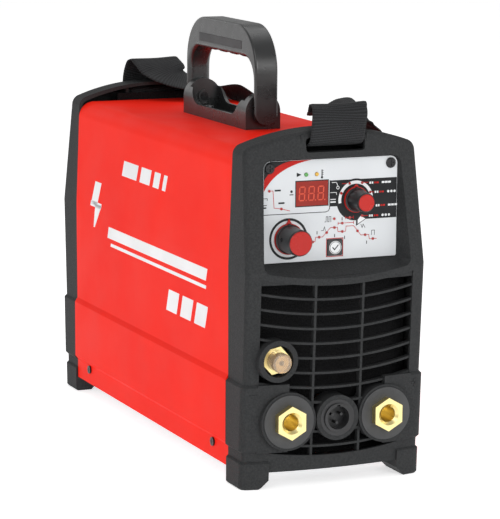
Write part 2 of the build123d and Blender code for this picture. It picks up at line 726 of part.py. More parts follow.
rock_y = rear_face - 2.5
with BuildPart() as switch_rocker:
    with BuildSketch(Plane.YZ.offset(switch_x - 6.8)):
        with BuildLine():
            Polyline(
                (rock_y - 5.0, switch_z - 5.5), (rock_y + 4.6, switch_z - 9.0),
                (rock_y + 3.4, switch_z), (rock_y + 4.6, switch_z + 9.0),
                (rock_y - 5.0, switch_z + 5.5), close=True,
            )
        make_face()
    extrude(amount=13.6)
rocker_rest = Rot(10, 0, 0)
switch_rocker.part = (
    Pos(0, rock_y, switch_z) * rocker_rest * Pos(0, -rock_y, -switch_z) * switch_rocker.part
)
with switch_rocker:
    with Locations(Location((switch_x, rock_y, switch_z), (0, 90, 0))):
        Cylinder(1.5, 20.0, mode=Mode.SUBTRACT)
save(switch_rocker, "switch_rocker")

with BuildPart() as cable_gland:
    y_tube(gland_x, gland_z, 206.0, rear_face, 10.0)
    with BuildSketch(Plane.XZ.offset(-rear_face)):
        with Locations((gland_x, gland_z)):
            RegularPolygon(12.5, 6, major_radius=False)
    extrude(amount=-4.0)
    y_tube(gland_x, gland_z, rear_face + 4.0, rear_face + 6.0, 10.5)
    y_tube(gland_x, gland_z, 200, 240, 5.6, mode=Mode.SUBTRACT)
save(cable_gland, "cable_gland")

with BuildPart() as gland_nut:
    with BuildSketch(Plane.XZ.offset(-rear_face - 6.0)):
        with Locations((gland_x, gland_z)):
            RegularPolygon(12.0, 6, major_radius=False)
    extrude(amount=-5.5)
    with Locations(Location((gland_x, rear_face + 13.25, gland_z), (-90, 0, 0))):
        Cone(11.5, 8.0, 3.5)
    y_tube(gland_x, gland_z, 225, 260, 5.6, mode=Mode.SUBTRACT)
save(gland_nut, "gland_nut")

with BuildPart() as gas_inlet:
    y_tube(inlet_x, inlet_z, 196.0, rear_face, 6.0)
    with BuildSketch(Plane.XZ.offset(-rear_face)):
        with Locations((inlet_x, inlet_z)):
            RegularPolygon(8.5, 6, major_radius=False)
    extrude(amount=-4.0)
    y_tube(inlet_x, inlet_z, rear_face + 4.0, rear_face + 15.5, 3.6)
    for step in range(3):
        with Locations(Location((inlet_x, rear_face + 6.5 + 3.5 * step, inlet_z), (-90, 0, 0))):
            Cone(4.6, 3.6, 3.0)
    y_tube(inlet_x, inlet_z, 190, 260, 2.0, mode=Mode.SUBTRACT)
save(gas_inlet, "gas_inlet")

# ---------------------------------------------------------------- fan
with BuildPart() as fan_frame:
    block(0, 199.5, fan_z, 119, 25, 119)
    fillet(fan_frame.edges().filter_by(Axis.Y), 5.0)
    y_tube(0, fan_z, 180, 220, 57.0, mode=Mode.SUBTRACT)
    y_tube(0, fan_z, 187.0, 190.0, 20.0)
    y_tube(0, fan_z, 190.0, 196.0, 12.0)
    for turn in (45, 135):
        with Locations(Location((0, 188.5, fan_z), (0, turn, 0))):
            Box(118, 3.0, 5.0)
    y_tube(0, fan_z, 180, 220, 2.05, mode=Mode.SUBTRACT)
    for x in (-52.5, 52.5):
        for z in (fan_z - 52.5, fan_z + 52.5):
            y_tube(x, z, 205, 240, 1.5, mode=Mode.SUBTRACT)
save(fan_frame, "fan_frame")

with BuildPart() as fan_rotor:
    y_tube(0, fan_z, 191.0, 210.0, 20.0)
    y_tube(0, fan_z, 190.0, 206.0, 18.0, mode=Mode.SUBTRACT)
    y_tube(0, fan_z, 189.0, 206.5, 2.0)
    for blade in range(7):
        with Locations(Location((0, 200.5, fan_z), (0, blade * 360 / 7, 0))):
            with Locations(Location((37.0, 0, 0), (38, 0, 0))):
                Box(36.5, 1.6, 22.0)
save(fan_rotor, "fan_rotor")

with BuildPart() as fan_screws:
    for x in (-52.5, 52.5):
        for z in (fan_z - 52.5, fan_z + 52.5):
            y_tube(x, z, 222.0, 224.4, 3.6)
            y_tube(x, z, 206.0, 222.0, 1.5)
            block(x, 224.4, z, 4.4, 1.4, 0.9, mode=Mode.SUBTRACT)
save(fan_screws, "fan_screws")

# ---------------------------------------------------------------- inside
floor_z = tray_z + 1.2
with BuildPart() as heatsink:
    block(0, 50, 81.0, 108, 170, 6.0)
    for fin in range(13):
        block(-51 + 8.5 * fin, 50, 50.0, 2.0, 170, 56.0)
    for x in (-53.0, 53.0):
        block(x, 50, (floor_z + 84) / 2, 2.0, 170, 84 - floor_z)
save(heatsink, "heatsink")

with BuildPart() as power_modules:
    for x in (-34.0, 0.0, 34.0):
        block(x, 10, 88.5, 24, 40, 9.0)
        block(x, 95, 88.5, 24, 30, 9.0)
save(power_modules, "power_modules")

with BuildPart() as power_board:
    block(0, 40, 93.8, 128, 220, 1.6)
    for x in (-45.0, 45.0):
        for y in (-28.0, 128.0):
            with Locations((x, y, 88.5)):
                Cylinder(3.0, 9.0)
    for x in (-52.0, -44.0, -36.0):
        block(x, -55, 100.6, 5.0, 14, 12.0)
save(power_board, "power_board")

with BuildPart() as bulk_capacitors:
    for x in (-38.0, 0.0, 38.0):
        with Locations((x, 60, 94.6 + 25.0)):
            Cylinder(17.0, 50.0)
    fillet(bulk_capacitors.edges().filter_by(GeomType.CIRCLE).group_by(Axis.Z)[-1], 1.2)
save(bulk_capacitors, "bulk_capacitors")

with BuildPart() as input_rectifier:
    block(-40, 120, 108.6, 32, 14, 28)
    for step in range(7):
        block(-52 + 4 * step, 130, 108.6, 1.2, 6.0, 28)
save(input_rectifier, "input_rectifier")

with BuildPart() as transformer_core:
    block(30, -90, 46.0, 72, 50, 55.6)
    for x in (16.0, 44.0):
        block(x, -90, 46.0, 12, 60, 34, mode=Mode.SUBTRACT)
save(transformer_core, "transformer_core")

with BuildPart() as transformer_windings:
    for y in (-119.5, -60.5):
        block(30, y, 46.0, 39.6, 8.6, 33.6)
    for x in (16.0, 44.0):
        block(x, -90, 46.0, 11.8, 60, 33.6)
save(transformer_windings, "transformer_windings")

with BuildPart() as output_inductor:
    with Locations((-42, -80, floor_z + 14)):
        Torus(22, 12)
    block(-42, -80, floor_z + 1.2, 30, 40, 2.4)
save(output_inductor, "output_inductor")

with BuildPart() as hf_unit:
    block(-44, -142, floor_z + 22, 46, 34, 44)
    fillet(hf_unit.edges().filter_by(Axis.Z), 3.0)
save(hf_unit, "hf_unit")

with BuildPart() as output_busbars:
    for side in (-1, 1):
        block(side * socket_x, -181.0, socket_z, 22, 3.0, 22)
        block(side * socket_x, -152.0, socket_z + 12.4, 18, 61, 2.4)
        y_tube(side * socket_x, socket_z, -186, -170, 5.1, mode=Mode.SUBTRACT)
save(output_busbars, "output_busbars")

with BuildPart() as gas_valve:
    block(inlet_x, 172, inlet_z, 22, 48, 22)
    y_tube(inlet_x, inlet_z, 194, 202, 7.5)
    with Locations((inlet_x, 166, inlet_z + 24)):
        Cylinder(11.0, 26.0)
    y_tube(inlet_x, inlet_z, 138, 148, 4.0)
    y_tube(inlet_x, inlet_z, 195.5, 210, 6.05, mode=Mode.SUBTRACT)
save(gas_valve, "gas_valve")

with BuildPart() as gas_hose:
    with BuildLine() as hose_path:
        Spline(
            (inlet_x, 137.8, inlet_z), (inlet_x, 105, inlet_z), (20, 20, 172), (-40, -90, 150),
            (gas_x, -150, gas_z + 4), (gas_x, -177.8, gas_z),
            tangents=[(0, -1, 0), (0, -1, 0)],
        )
    with BuildSketch(Plane(hose_path.wire() @ 0, z_dir=(0, -1, 0))):
        Circle(4.0)
    sweep(path=hose_path.wire())
save(gas_hose, "gas_hose")

# ---------------------------------------------------------------- carrying strap
strap_slot = (
    ((1.5, 199.0, 281.0), (0, 1, 0.0), (1, 0, 0)),
    ((1.5, 210.0, 281.2), (0, 1, 0.25), (1, 0, 0)),
    ((2.0, 215.2, 286.0), (0, 0.3, 1), (1, 0, 0)),
    ((3.0, 215.4, 297.0), (0, -0.1, 1), (1, 0, 0)),
    ((5.0, 212.0, 308.0), (0, -0.6, 1), (1, 0, 0.02)),
    ((6.0, 206.5, 311.8), (0, -1, 0.1), (1, 0, 0.02)),
)
strap_front = (
    ((4.0, 199.5, 308.5), (-0.1, -1, -0.6), (1, 0, 0)),
    ((6.0, 190.0, 301.5), (0.2, -1, -0.5), (1, 0, 0)),
    ((14.0, 177.0, 297.0), (0.7, -1, -0.1), (1, 0.4, 0)),
    ((33.0, 159.0, 296.0), (1, -0.8, -0.1), (0.85, 0.5, -0.2)),
    ((54.5, 139.0, 294.0), (1, -0.9, -0.5), (0.75, 0.3, -0.55)),
    ((73.5, 116.0, 281.5), (0.6, -1, -0.7), (0.5, 0.2, -0.9)),
    ((82.5, 84.0, 256.0), (0.2, -1, -0.7), (0.1, 0.5, -1)),
    ((84.0, 46.0, 236.0), (0, -1, -0.35), (0, 0.3, -1)),
)
strap_rear = (
    ((7.5, 199.5, 309.0), (0.1, -1, -0.5), (1, 0, 0)),
    ((9.5, 190.0, 303.5), (0.2, -1, -0.7), (1, 0, 0)),
    ((15.0, 180.5, 297.0), (0.7, -0.8, -0.5), (1, 0.4, 0)),
    ((31.0, 170.0, 290.5), (1, -0.6, -0.3), (0.75, 0.65, 0.05)),
    ((53.0, 159.0, 286.5), (1, -0.6, -0.4), (0.65, 0.7, -0.2)),
    ((73.5, 144.0, 277.5), (0.7, -0.8, -0.8), (0.5, 0.5, -0.7)),
    ((83.0, 116.0, 256.0), (0.2, -1, -0.8), (0.1, 0.6, -1)),
    ((84.0, 62.0, 234.5), (0, -1, -0.3), (0, 0.3, -1)),
)


def strap_stations():
    """Stations of the strap from the front slot over the right side to the rear slot."""
    ahead = []
    for point, along, across in strap_slot + strap_front:
        ahead.append(
            (
                (point[0], -point[1], point[2]),
                (along[0], -along[1], along[2]),
                (across[0], -across[1], across[2]),
            )
        )
    middle = [((84.0, 0.0, 228.0), (0, 1, 0), (0, 0, -1))]
    behind = []
    for point, along, across in reversed(strap_slot + strap_rear):
        behind.append((point, (-along[0], -along[1], -along[2]), across))
    return ahead + middle + behind


with BuildPart() as carry_strap:
    for point, along, across in strap_stations():
        run = Vector(*along).normalized()
        side = Vector(*across)
        side = (side - run * side.dot(run)).normalized()
        with BuildSketch(Plane(origin=point, x_dir=side, z_dir=run)):
            Rectangle(strap_w, strap_t)
    loft(ruled=True)
save(carry_strap, "carry_strap")

with BuildPart() as strap_keeper:
    block(84, 0, 228, 7.0, 12.0, 56.0)
    fillet(strap_keeper.edges().filter_by(Axis.Y), 2.5)
    block(84, 0, 228, 3.4, 20.0, 49.4, mode=Mode.SUBTRACT)
save(strap_keeper, "strap_keeper")
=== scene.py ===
"""Looks for a portable TIG welding inverter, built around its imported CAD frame."""
import json
import math
import random

import bmesh
import bpy
from mathutils import Matrix, Vector
from mathutils.bvhtree import BVHTree


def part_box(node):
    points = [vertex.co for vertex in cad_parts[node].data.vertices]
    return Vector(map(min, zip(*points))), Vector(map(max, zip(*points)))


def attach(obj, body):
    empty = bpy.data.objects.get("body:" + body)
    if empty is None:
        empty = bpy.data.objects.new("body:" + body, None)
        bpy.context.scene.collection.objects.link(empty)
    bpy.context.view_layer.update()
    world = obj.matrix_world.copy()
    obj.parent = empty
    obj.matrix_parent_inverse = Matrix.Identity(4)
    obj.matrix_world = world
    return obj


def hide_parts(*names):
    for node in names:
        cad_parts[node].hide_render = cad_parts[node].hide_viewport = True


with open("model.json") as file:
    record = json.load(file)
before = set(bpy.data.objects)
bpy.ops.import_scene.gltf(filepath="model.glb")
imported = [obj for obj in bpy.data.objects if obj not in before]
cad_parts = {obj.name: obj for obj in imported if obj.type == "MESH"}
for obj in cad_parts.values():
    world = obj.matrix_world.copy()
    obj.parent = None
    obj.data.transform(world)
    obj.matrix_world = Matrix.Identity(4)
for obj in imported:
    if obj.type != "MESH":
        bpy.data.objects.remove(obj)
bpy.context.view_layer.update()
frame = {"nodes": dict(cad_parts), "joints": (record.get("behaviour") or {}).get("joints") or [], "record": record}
nodes = frame["nodes"]
joints = {joint["name"]: joint for joint in frame["joints"]}
MM = 0.001


# ---------------------------------------------------------------- camera and studio
def make_camera():
    """Long lens, front left of the machine and a little above it."""
    azimuth, elevation, roll = math.radians(-23.35), math.radians(9.827), math.radians(0.406)
    back = Vector((
        math.sin(azimuth) * math.cos(elevation),
        -math.cos(azimuth) * math.cos(elevation),
        math.sin(elevation),
    ))
    level = (-back).cross(Vector((0, 0, 1))).normalized()
    upright = level.cross(-back)
    right = math.cos(roll) * level + math.sin(roll) * upright
    up = math.cos(roll) * upright - math.sin(roll) * level
    lens = bpy.data.cameras.new("camera")
    lens.sensor_width = 36.0
    lens.lens = 179.94
    lens.clip_end = 100.0
    camera = bpy.data.objects.new("camera", lens)
    turn = Matrix((right, up, back)).transposed().to_4x4()
    camera.matrix_world = Matrix.Translation((-0.8861, -2.0958, 0.5457)) @ turn
    bpy.context.scene.collection.objects.link(camera)
    bpy.context.scene.camera = camera


def area_light(name, place, target, size, power):
    """White soft box aimed at a point."""
    lamp = bpy.data.lights.new(name, "AREA")
    lamp.shape = "RECTANGLE"
    lamp.size, lamp.size_y = size
    lamp.energy = power
    holder = bpy.data.objects.new(name, lamp)
    holder.location = place
    holder.rotation_euler = (Vector(target) - Vector(place)).to_track_quat("-Z", "Y").to_euler()
    bpy.context.scene.collection.objects.link(holder)


def make_studio():
    """Even pale surroundings with soft boxes left, right and above."""
    middle = (0, 0, 0.17)
    area_light("key", (-1.5, -1.5, 1.5), middle, (1.4, 1.2), 11)
    area_light("front", (0.35, -2.4, 0.95), middle, (1.2, 0.9), 17)
    area_light("right", (1.9, -0.5, 0.7), middle, (0.9, 1.4), 6)
    area_light("top", (0.1, 0.5, 2.0), middle, (1.6, 1.6), 10.5)
    area_light("back", (-0.7, 2.0, 0.9), middle, (1.2, 1.0), 3)
    world = bpy.data.worlds.new("studio")
    world.use_nodes = True
    shade = world.node_tree.nodes["Background"]
    shade.inputs["Color"].default_value = (1.0, 1.0, 1.0, 1.0)
    shade.inputs["Strength"].default_value = 0.42
    bpy.context.scene.world = world
    bpy.context.scene.view_settings.view_transform = "Standard"


# ---------------------------------------------------------------- materials
def object_noise(tree, scale, stretch=(1, 1, 1), detail=3.0):
    """Noise laid over a piece's own coordinates."""
    place = tree.nodes.new("ShaderNodeTexCoord")
    mapping = tree.nodes.new("ShaderNodeMapping")
    mapping.inputs["Scale"].default_value = stretch
    grain = tree.nodes.new("ShaderNodeTexNoise")
    grain.inputs["Scale"].default_value = scale
    grain.inputs["Detail"].default_value = detail
    tree.links.new(place.outputs["Object"], mapping.inputs["Vector"])
    tree.links.new(mapping.outputs["Vector"], grain.inputs["Vector"])
    return grain.outputs["Fac"]


def colour_ramp(tree, factor, low, high, start=0.35, end=0.65):
    """Blend from low to high as the factor rises."""
    ramp = tree.nodes.new("ShaderNodeValToRGB")
    ramp.color_ramp.elements[0].position = start
    ramp.color_ramp.elements[1].position = end
    ramp.color_ramp.elements[0].color = (*low, 1.0)
    ramp.color_ramp.elements[1].color = (*high, 1.0)
    tree.links.new(factor, ramp.inputs["Fac"])
    return ramp.outputs["Color"]


def value_range(tree, factor, low, high):
    """Spread a factor over a range of values."""
    ramp = tree.nodes.new("ShaderNodeMapRange")
    ramp.inputs["From Min"].default_value = 0.3
    ramp.inputs["From Max"].default_value = 0.7
    ramp.inputs["To Min"].default_value = low
    ramp.inputs["To Max"].default_value = high
    tree.links.new(factor, ramp.inputs["Value"])
    return ramp.outputs["Result"]


def add_bump(tree, shader, height, strength, distance):
    """Add one more layer of relief to a shader."""
    relief = tree.nodes.new("ShaderNodeBump")
    relief.inputs["Strength"].default_value = strength
    relief.inputs["Distance"].default_value = distance
    tree.links.new(height, relief.inputs["Height"])
    before = shader.inputs["Normal"].links
    if before:
        tree.links.new(before[0].from_socket, relief.inputs["Normal"])
    tree.links.new(relief.outputs["Normal"], shader.inputs["Normal"])


def surface(
    name, light, dark, rough, spread=0.06, mottle=14.0, grain=900.0, bump=0.15, deep=0.1,
    metal=0.0, coat=0.0, clear=0.0, stretch=(1, 1, 1), specular=0.5, wave=0.0,
):
    """Mottled, grained finish: two tones, uneven gloss, fine relief and a slow waviness."""
    made = bpy.data.materials.new(name)
    made.use_nodes = True
    tree = made.node_tree
    shader = tree.nodes["Principled BSDF"]
    shader.inputs["Metallic"].default_value = metal
    shader.inputs["Coat Weight"].default_value = coat
    shader.inputs["Coat Roughness"].default_value = 0.12
    shader.inputs["Transmission Weight"].default_value = clear
    shader.inputs["Specular IOR Level"].default_value = specular
    tones = object_noise(tree, mottle, stretch, 5.0)
    fine = object_noise(tree, grain, stretch, 2.0)
    tree.links.new(colour_ramp(tree, tones, dark, light), shader.inputs["Base Color"])
    gloss = object_noise(tree, mottle * 3.7, stretch, 4.0)
    roughness = value_range(tree, gloss, rough - spread, rough + spread)
    tree.links.new(roughness, shader.inputs["Roughness"])
    add_bump(tree, shader, fine, bump, deep * MM)
    if wave:
        add_bump(tree, shader, object_noise(tree, 95.0, stretch, 1.0), wave, 0.4 * MM)
    return made


def webbing_surface():
    """Black woven webbing: ribs across the width, crossed by lengthwise cords."""
    made = surface("webbing", (0.030, 0.031, 0.033), (0.014, 0.014, 0.015), 0.62, grain=2600,
                   bump=0.3, specular=0.15)
    tree = made.node_tree
    shader = tree.nodes["Principled BSDF"]
    shader.inputs["Sheen Weight"].default_value = 0.03
    shader.inputs["Sheen Roughness"].default_value = 0.4
    along = tree.nodes.new("ShaderNodeAttribute")
    along.attribute_name = "weave"
    for turn, scale, strength, painted_shade in (
        (0.12, 160.0, 0.55, True), (-0.5, 150.0, 0.2, False), (math.pi / 2, 190.0, 0.3, False),
    ):
        mapping = tree.nodes.new("ShaderNodeMapping")
        mapping.inputs["Rotation"].default_value = (0, 0, turn)
        bands = tree.nodes.new("ShaderNodeTexWave")
        bands.wave_type = "BANDS"
        bands.bands_direction = "X"
        bands.inputs["Scale"].default_value = scale
        bands.inputs["Distortion"].default_value = 0.25
        tree.links.new(along.outputs["Vector"], mapping.inputs["Vector"])
        tree.links.new(mapping.outputs["Vector"], bands.inputs["Vector"])
        add_bump(tree, shader, bands.outputs["Fac"], strength, 0.5 * MM)
        # the first set of bands also colours the weave: painted shade, darker in its valleys and lighter on its
        # ridges, following the relief
        if painted_shade:
            shaded_valley, lit_ridge = (0.014, 0.014, 0.015), (0.028, 0.029, 0.031)
            tones = colour_ramp(tree, bands.outputs["Fac"], shaded_valley, lit_ridge, 0.2, 0.9)
            tree.links.new(tones, shader.inputs["Base Color"])
    return made


BRUSHED = (1, 14, 14)  # noise drawn out along x, as on brushed sheet
TURNED = (30, 1, 1)  # noise squeezed along x, as on turned bar
LOOKS = {
    "cover_red": dict(light=(0.96, 0.024, 0.011), dark=(0.90, 0.019, 0.009), rough=0.42, mottle=7,
                      grain=1300, bump=0.05, deep=0.05, wave=0.02, specular=0.03),
    "shell_grey": dict(light=(0.041, 0.042, 0.043), dark=(0.030, 0.031, 0.032), rough=0.52,
                       mottle=620, grain=1000, bump=0.9, deep=0.35, specular=0.05),
    "fascia": dict(light=(0.68, 0.70, 0.72), dark=(0.60, 0.62, 0.64), rough=0.38, mottle=5,
                   grain=2500, bump=0.08, deep=0.05, coat=0.15),
    "tray": dict(light=(0.55, 0.56, 0.58), dark=(0.38, 0.39, 0.41), rough=0.42, mottle=60,
                 metal=1.0),
    "screw_black": dict(light=(0.022, 0.022, 0.024), dark=(0.010, 0.010, 0.011), rough=0.30,
                        mottle=120, metal=0.35),
    "screw_steel": dict(light=(0.66, 0.66, 0.68), dark=(0.46, 0.46, 0.48), rough=0.28, mottle=300,
                        metal=1.0),
    "plate": dict(light=(0.70, 0.71, 0.72), dark=(0.58, 0.59, 0.60), rough=0.36, metal=0.9,
                  stretch=BRUSHED),
    "window_red": dict(light=(0.30, 0.020, 0.011), dark=(0.25, 0.015, 0.008), rough=0.12,
                       mottle=40, grain=300, bump=0.02, specular=0.25),
    "display": dict(light=(0.05, 0.02, 0.02), dark=(0.03, 0.012, 0.012), rough=0.4),
    "lamp_green": dict(light=(0.10, 0.36, 0.08), dark=(0.05, 0.24, 0.04), rough=0.22, mottle=500,
                       coat=0.6),
    "lamp_amber": dict(light=(0.70, 0.42, 0.04), dark=(0.52, 0.28, 0.02), rough=0.22, mottle=500,
                       coat=0.6),
    "lamp_red": dict(light=(0.42, 0.012, 0.012), dark=(0.28, 0.006, 0.006), rough=0.22,
                     mottle=500, coat=0.6),
    "pcb": dict(light=(0.02, 0.16, 0.06), dark=(0.01, 0.10, 0.03), rough=0.35, mottle=220,
                grain=700),
    "knob_black": dict(light=(0.014, 0.014, 0.015), dark=(0.010, 0.010, 0.011), rough=0.30,
                       spread=0.03, mottle=25, grain=2400, bump=0.02),
    "cap_red": dict(light=(0.47, 0.016, 0.011), dark=(0.40, 0.012, 0.008), rough=0.26, mottle=12,
                    grain=500, bump=0.015, specular=0.3),
    "button": dict(light=(0.040, 0.041, 0.043), dark=(0.025, 0.026, 0.027), rough=0.45,
                   mottle=120),
    "brass": dict(light=(0.97, 0.83, 0.42), dark=(0.89, 0.73, 0.31), rough=0.33, mottle=120,
                  grain=700, bump=0.06, metal=1.0, stretch=TURNED),
    "insulator": dict(light=(0.052, 0.053, 0.055), dark=(0.036, 0.037, 0.039), rough=0.55,
                      mottle=60, grain=2200, bump=0.3),
    "socket_black": dict(light=(0.020, 0.020, 0.022), dark=(0.011, 0.011, 0.012), rough=0.36,
                         mottle=90, grain=2200, bump=0.15),
    "cap_clear": dict(light=(0.92, 0.76, 0.58), dark=(0.86, 0.69, 0.50), rough=0.18, mottle=25,
                      grain=900, bump=0.02, clear=0.75, coat=0.2),
    "handle_black": dict(light=(0.020, 0.021, 0.022), dark=(0.012, 0.013, 0.013), rough=0.30,
                         mottle=26, grain=1700, bump=0.30, deep=0.16, specular=0.7, wave=0.03),
    "pad": dict(light=(0.044, 0.046, 0.048), dark=(0.030, 0.032, 0.034), rough=0.55, grain=1300,
                bump=0.5),
    "steel": dict(light=(0.60, 0.60, 0.62), dark=(0.42, 0.42, 0.44), rough=0.30, metal=1.0,
                  stretch=TURNED),
    "switch": dict(light=(0.018, 0.018, 0.019), dark=(0.010, 0.010, 0.011), rough=0.25,
                   mottle=90),
    "fan_plastic": dict(light=(0.022, 0.022, 0.024), dark=(0.013, 0.013, 0.014), rough=0.48,
                        mottle=60),
    "alu": dict(light=(0.66, 0.67, 0.69), dark=(0.50, 0.51, 0.53), rough=0.38, metal=1.0,
                stretch=BRUSHED),
    "ferrite": dict(light=(0.09, 0.09, 0.095), dark=(0.05, 0.05, 0.055), rough=0.6, mottle=300,
                    grain=1800),
    "winding": dict(light=(0.66, 0.27, 0.10), dark=(0.42, 0.14, 0.05), rough=0.32, metal=0.8,
                    stretch=(1, 1, 30)),
    "capacitor": dict(light=(0.020, 0.030, 0.10), dark=(0.012, 0.018, 0.06), rough=0.3,
                      mottle=40),
    "module": dict(light=(0.030, 0.030, 0.032), dark=(0.018, 0.018, 0.02), rough=0.55, mottle=90),
    "potted": dict(light=(0.10, 0.10, 0.12), dark=(0.07, 0.07, 0.085), rough=0.5, mottle=60),
    "copper": dict(light=(0.78, 0.36, 0.20), dark=(0.60, 0.25, 0.12), rough=0.3, metal=1.0,
                   stretch=BRUSHED),
    "hose": dict(light=(0.030, 0.030, 0.036), dark=(0.018, 0.018, 0.022), rough=0.5, mottle=50),
    "keeper": dict(light=(0.022, 0.022, 0.024), dark=(0.012, 0.012, 0.013), rough=0.4, mottle=90),
    # near-black sheets that paint the shade behind openings, and printed inks, used only by the pieces made in
    # this script
    "painted_shade_black": dict(light=(0.014, 0.014, 0.015), dark=(0.004, 0.004, 0.004), rough=0.85, mottle=900,
                 grain=900, bump=0.9, deep=0.5, specular=0.1),
    "ink_dark": dict(light=(0.022, 0.023, 0.025), dark=(0.015, 0.016, 0.017), rough=0.45,
                     mottle=30, bump=0.1, specular=0.15),
    "ink_red": dict(light=(0.50, 0.016, 0.012), dark=(0.44, 0.013, 0.010), rough=0.45, mottle=30,
                    bump=0.1, specular=0.15),
    "ink_white": dict(light=(0.80, 0.81, 0.82), dark=(0.70, 0.71, 0.72), rough=0.42, mottle=40,
                      bump=0.1),
    "ink_grey": dict(light=(0.22, 0.23, 0.24), dark=(0.17, 0.18, 0.19), rough=0.42, mottle=40,
                     bump=0.1),
    "film_white": dict(light=(0.86, 0.87, 0.88), dark=(0.78, 0.79, 0.80), rough=0.36, mottle=20,
                       grain=1100, bump=0.06, coat=0.1),
    "segment_red": dict(light=(0.66, 0.095, 0.050), dark=(0.56, 0.070, 0.038), rough=0.3,
                        mottle=200, specular=0.15),
}
materials = {}


def look(name):
    """Material by name, made on first use."""
    if name not in materials:
        materials[name] = webbing_surface() if name == "webbing" else surface(name, **LOOKS[name])
    return materials[name]


def dress_frame():
    """Give every CAD node the finish of its slot."""
    for part in frame["record"]["subparts"]:
        shown = nodes[part["node"]]
        finish = look(part["material_slot"])
        if not shown.material_slots:
            shown.data.materials.append(finish)
        for holder in shown.material_slots:
            holder.material = finish


# ---------------------------------------------------------------- mesh helpers
def add_piece(name, shape, body, material, smooth=False):
    """Turn a bmesh into a piece that rides on a body."""
    bmesh.ops.recalc_face_normals(shape, faces=shape.faces)
    mesh = bpy.data.meshes.new(name)
    shape.to_mesh(mesh)
    shape.free()
    mesh.materials.append(look(material))
    if smooth:
        mesh.shade_smooth()
    piece = bpy.data.objects.new(name, mesh)
    bpy.context.scene.collection.objects.link(piece)
    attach(piece, body)
    return piece


def prism(shape, outline, place, low, high):
    """Closed plate over a flat outline; place maps (across, up, out) in millimetres to space."""
    under = [shape.verts.new(place(u, v, low)) for u, v in outline]
    over = [shape.verts.new(place(u, v, high)) for u, v in outline]
    shape.faces.new(under[::-1])
    shape.faces.new(over)
    for i in range(len(outline)):
        j = (i + 1) % len(outline)
        shape.faces.new((under[i], under[j], over[j], over[i]))


def box_outline(u0, v0, u1, v1):
    """Rectangle between two opposite corners."""
    return [(u0, v0), (u1, v0), (u1, v1), (u0, v1)]


def disc_outline(u, v, radius, sides=40):
    """Many-sided disc round a centre."""
    turns = [2 * math.pi * i / sides for i in range(sides)]
    return [(u + radius * math.cos(t), v + radius * math.sin(t)) for t in turns]


def arc_outline(u, v, inner, outer, start, end, steps=32):
    """Band between two radii, angles in degrees."""
    turns = [math.radians(start + (end - start) * i / steps) for i in range(steps + 1)]
    outside = [(u + outer * math.cos(t), v + outer * math.sin(t)) for t in turns]
    inside = [(u + inner * math.cos(t), v + inner * math.sin(t)) for t in reversed(turns)]
    return outside + inside


def ring_outlines(u, v, inner, outer):
    """Full ring, as two half bands."""
    return [arc_outline(u, v, inner, outer, 0, 180), arc_outline(u, v, inner, outer, 180, 360)]


def line_outlines(points, width):
    """One slim rectangle for each run of a line, a little longer so that corners close."""
    runs = []
    for (u0, v0), (u1, v1) in zip(points, points[1:]):
        length = math.hypot(u1 - u0, v1 - v0)
        du, dv = (u1 - u0) / length * width / 2, (v1 - v0) / length * width / 2
        runs.append([
            (u0 - du - dv, v0 - dv + du), (u0 - du + dv, v0 - dv - du),
            (u1 + du + dv, v1 + dv - du), (u1 + du - dv, v1 + dv + du),
        ])
    return runs


def print_piece(name, outlines, place, body, material, low=-0.05, high=0.05):
    """Thin printed layer made of flat outlines."""
    shape = bmesh.new()
    for outline in outlines:
        prism(shape, outline, place, low, high)
    return add_piece(name, shape, body, material)


def patch(shape, corners, across, along, project, thickness=0.12):
    """Thin closed skin over a surface, between four corners in its own two coordinates."""
    (a0, b0), (a1, b1), (a2, b2), (a3, b3) = corners
    layers = []
    for lift in (-thickness, thickness):
        rows = []
        for i in range(across + 1):
            s = i / across
            row = []
            for j in range(along + 1):
                t = j / along
                a = (1 - s) * ((1 - t) * a0 + t * a3) + s * ((1 - t) * a1 + t * a2)
                b = (1 - s) * ((1 - t) * b0 + t * b3) + s * ((1 - t) * b1 + t * b2)
                row.append(shape.verts.new(project(a, b, lift)))
            rows.append(row)
        layers.append(rows)
    under, over = layers
    for i in range(across):
        for j in range(along):
            for rows in layers:
                shape.faces.new((rows[i][j], rows[i + 1][j], rows[i + 1][j + 1], rows[i][j + 1]))
    for i in range(across):
        for j in (0, along):
            shape.faces.new((under[i][j], under[i + 1][j], over[i + 1][j], over[i][j]))
    for j in range(along):
        for i in (0, across):
            shape.faces.new((under[i][j], under[i][j + 1], over[i][j + 1], over[i][j]))


def surface_of(node):
    """Search tree over a CAD node's mesh."""
    mesh = nodes[node].data
    corners = [v.co.copy() for v in mesh.vertices]
    return BVHTree.FromPolygons(corners, [tuple(p.vertices) for p in mesh.polygons])


# ---------------------------------------------------------------- control panel
panel_low, panel_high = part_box("control_panel")
panel_front = panel_low.y / MM
current_axis = Vector(joints["current_knob_turn"]["pos_m"]) / MM
mode_axis = Vector(joints["mode_knob_turn"]["pos_m"]) / MM
print_left, print_right = panel_low.x / MM + 0.2, panel_high.x / MM - 0.2
print_top = panel_high.z / MM - 0.2
MODE_ROWS = (
    (34.6, 246.6, "bars"), (39.4, 238.8, "dots"), (40.6, 227.6, "bars"), (34.6, 219.4, "dots"),
)


def on_panel(u, v, out):
    """Map (across, up, out of the fascia) in millimetres to space."""
    return Vector((u, panel_front - out, v)) * MM


def curve_between(points, steps=10):
    """Smooth line through three points on a circle-like bend."""
    (u0, v0), (u1, v1), (u2, v2) = points
    cu, cv = 2 * u1 - (u0 + u2) / 2, 2 * v1 - (v0 + v2) / 2
    line = []
    for i in range(steps + 1):
        t = i / steps
        line.append((
            (1 - t) ** 2 * u0 + 2 * t * (1 - t) * cu + t * t * u2,
            (1 - t) ** 2 * v0 + 2 * t * (1 - t) * cv + t * t * v2,
        ))
    return line


